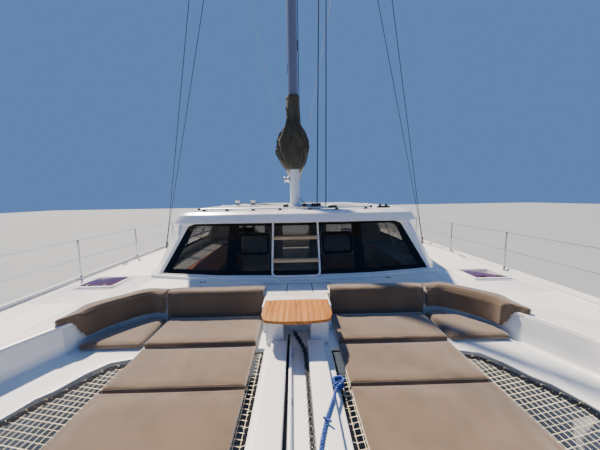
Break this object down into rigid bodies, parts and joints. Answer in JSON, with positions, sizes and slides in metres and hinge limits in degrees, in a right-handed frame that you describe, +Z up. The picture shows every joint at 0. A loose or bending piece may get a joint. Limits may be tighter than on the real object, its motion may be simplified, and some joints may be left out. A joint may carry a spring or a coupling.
{
  "type": "cruising sailing catamaran with a foredeck lounge",
  "caption": "Twin-hulled sailing yacht with mast, boom and bagged sail, cushioned foredeck lounge, nets, saloon, cockpit, rudders and propellers.",
  "frame": {"origin": "on the waterline, on the centreline, half way along the hulls", "axes": "+Z up along the mast, -Y towards the bows, +X to port"},
  "size_m": [7.4, 13.4, 21.91],
  "materials": {
    "gelcoat": "glossy white moulded gelcoat",
    "deck_nonskid": "fine moulded nonskid",
    "antifouling": "matt antifouling paint",
    "cast_alloy": "painted cast alloy",
    "bronze": "bare bronze",
    "tinted_acrylic": "smoked acrylic",
    "tinted_glass": "tinted safety glass",
    "painted_alloy": "white painted tube",
    "anodised_alloy": "satin anodised",
    "net_cord": "knotless cord net",
    "galvanised_steel": "dull hot-dip galvanising",
    "blue_rope": "braided polyester",
    "teak": "oiled light teak",
    "veneer": "satin wood veneer",
    "cushion_fabric": "woven outdoor cushion cloth",
    "stainless_steel": "polished stainless steel",
    "sailcloth": "rolled sail with a canvas strip",
    "bag_canvas": "coated acrylic canvas"
  },
  "bodies": {
    "boat": {"hull_port": "gelcoat", "hull_starboard": "gelcoat", "saildrive_port": "cast_alloy", "saildrive_starboard": "cast_alloy", "bridgedeck": "gelcoat", "deck": "deck_nonskid", "house_walls": "gelcoat", "windscreen": "tinted_glass", "side_glass_port": "tinted_glass", "side_glass_starboard": "tinted_glass", "coachroof": "gelcoat", "hardtop": "gelcoat", "front_ladder": "painted_alloy", "crossbeam": "anodised_alloy", "longeron": "gelcoat", "net_port": "net_cord", "net_starboard": "net_cord", "anchor_and_chain": "galvanised_steel", "snubber_rope": "blue_rope", "foredeck_table_base": "gelcoat", "back_straight_port": "cushion_fabric", "back_straight_starboard": "cushion_fabric", "back_curved_port": "cushion_fabric", "back_curved_starboard": "cushion_fabric", "seat_inner_port": "cushion_fabric", "seat_inner_starboard": "cushion_fabric", "seat_outer_port": "cushion_fabric", "seat_outer_starboard": "cushion_fabric", "pad_aft_port": "cushion_fabric", "pad_aft_starboard": "cushion_fabric", "pad_fore_port": "cushion_fabric", "pad_fore_starboard": "cushion_fabric", "guardrail_port": "stainless_steel", "guardrail_starboard": "stainless_steel", "mast": "anodised_alloy", "furled_headsail": "sailcloth", "spreader_port": "anodised_alloy", "spreader_starboard": "anodised_alloy", "shroud_port": "stainless_steel", "shroud_starboard": "stainless_steel", "shroud_upper_port": "stainless_steel", "shroud_upper_starboard": "stainless_steel", "bag_flap": "bag_canvas", "saloon_furniture": "veneer", "saloon_table": "veneer", "cockpit_table": "teak"},
    "wheel": {"steering_wheel": "stainless_steel"},
    "rudder_port": {"rudder_port": "antifouling"},
    "rudder_starboard": {"rudder_starboard": "antifouling"},
    "propeller_port": {"propeller_port": "bronze"},
    "propeller_starboard": {"propeller_starboard": "bronze"},
    "boom": {"boom": "anodised_alloy", "sail_bag": "bag_canvas"},
    "saloon_door": {"saloon_door": "tinted_glass"},
    "deck_hatch_port": {"deck_hatch_port": "tinted_acrylic"},
    "deck_hatch_starboard": {"deck_hatch_starboard": "tinted_acrylic"},
    "window_hatch_port": {"window_hatch_port": "tinted_glass"},
    "window_hatch_starboard": {"window_hatch_starboard": "tinted_glass"},
    "table_leaf_port": {"table_leaf_port": "teak"},
    "table_leaf_starboard": {"table_leaf_starboard": "teak"}
  },
  "joints": [
    {"name": "wheel_turn", "type": "hinge", "parent": "boat", "child": "wheel", "pos_m": [-1.7, 3.01, 2.05], "axis": [0, 1, 0], "range_deg": [-540, 540]},
    {"name": "rudder_port_turn", "type": "hinge", "parent": "boat", "child": "rudder_port", "pos_m": [2.93, 5.4, -0.5], "axis": [0, 0, 1], "range_deg": [-35, 35]},
    {"name": "rudder_starboard_turn", "type": "hinge", "parent": "boat", "child": "rudder_starboard", "pos_m": [-2.93, 5.4, -0.5], "axis": [0, 0, 1], "range_deg": [-35, 35]},
    {"name": "propeller_port_spin", "type": "hinge", "parent": "boat", "child": "propeller_port", "pos_m": [2.93, 4.2, -0.88], "axis": [0, 1, 0], "continuous": true},
    {"name": "propeller_starboard_spin", "type": "hinge", "parent": "boat", "child": "propeller_starboard", "pos_m": [-2.93, 4.2, -0.88], "axis": [0, 1, 0], "continuous": true},
    {"name": "boom_swing", "type": "hinge", "parent": "boat", "child": "boom", "pos_m": [0, -0.3, 3.6], "axis": [0, 0, 1], "range_deg": [-55, 55]},
    {"name": "saloon_door_slide", "type": "slide", "parent": "boat", "child": "saloon_door", "axis": [1, 0, 0], "range_m": [0, 0.9]},
    {"name": "deck_hatch_port_lift", "type": "hinge", "parent": "boat", "child": "deck_hatch_port", "pos_m": [3.035, -1.286, 1.9125], "axis": [-1, 0, 0], "range_deg": [0, 90]},
    {"name": "deck_hatch_starboard_lift", "type": "hinge", "parent": "boat", "child": "deck_hatch_starboard", "pos_m": [-3.035, -1.286, 1.9125], "axis": [-1, 0, 0], "range_deg": [0, 90]},
    {"name": "window_hatch_port_swing", "type": "hinge", "parent": "boat", "child": "window_hatch_port", "pos_m": [0.705, -1.177, 2.6244], "axis": [-0.9985, -0.0545, 0], "range_deg": [0, 30]},
    {"name": "window_hatch_starboard_swing", "type": "hinge", "parent": "boat", "child": "window_hatch_starboard", "pos_m": [-0.705, -1.177, 2.6244], "axis": [-0.9985, 0.0545, 0], "range_deg": [0, 30]},
    {"name": "table_leaf_port_fold", "type": "hinge", "parent": "boat", "child": "table_leaf_port", "pos_m": [0.126, -2.8, 1.98], "axis": [0, -1, 0], "range_deg": [0, 88]},
    {"name": "table_leaf_starboard_fold", "type": "hinge", "parent": "boat", "child": "table_leaf_starboard", "pos_m": [-0.126, -2.8, 1.98], "axis": [0, 1, 0], "range_deg": [0, 88]}
  ],
  "couplings": [
    {"joint": "rudder_port_turn", "follows": "wheel_turn", "ratio": 0.0648},
    {"joint": "rudder_starboard_turn", "follows": "wheel_turn", "ratio": 0.0648}
  ]
}
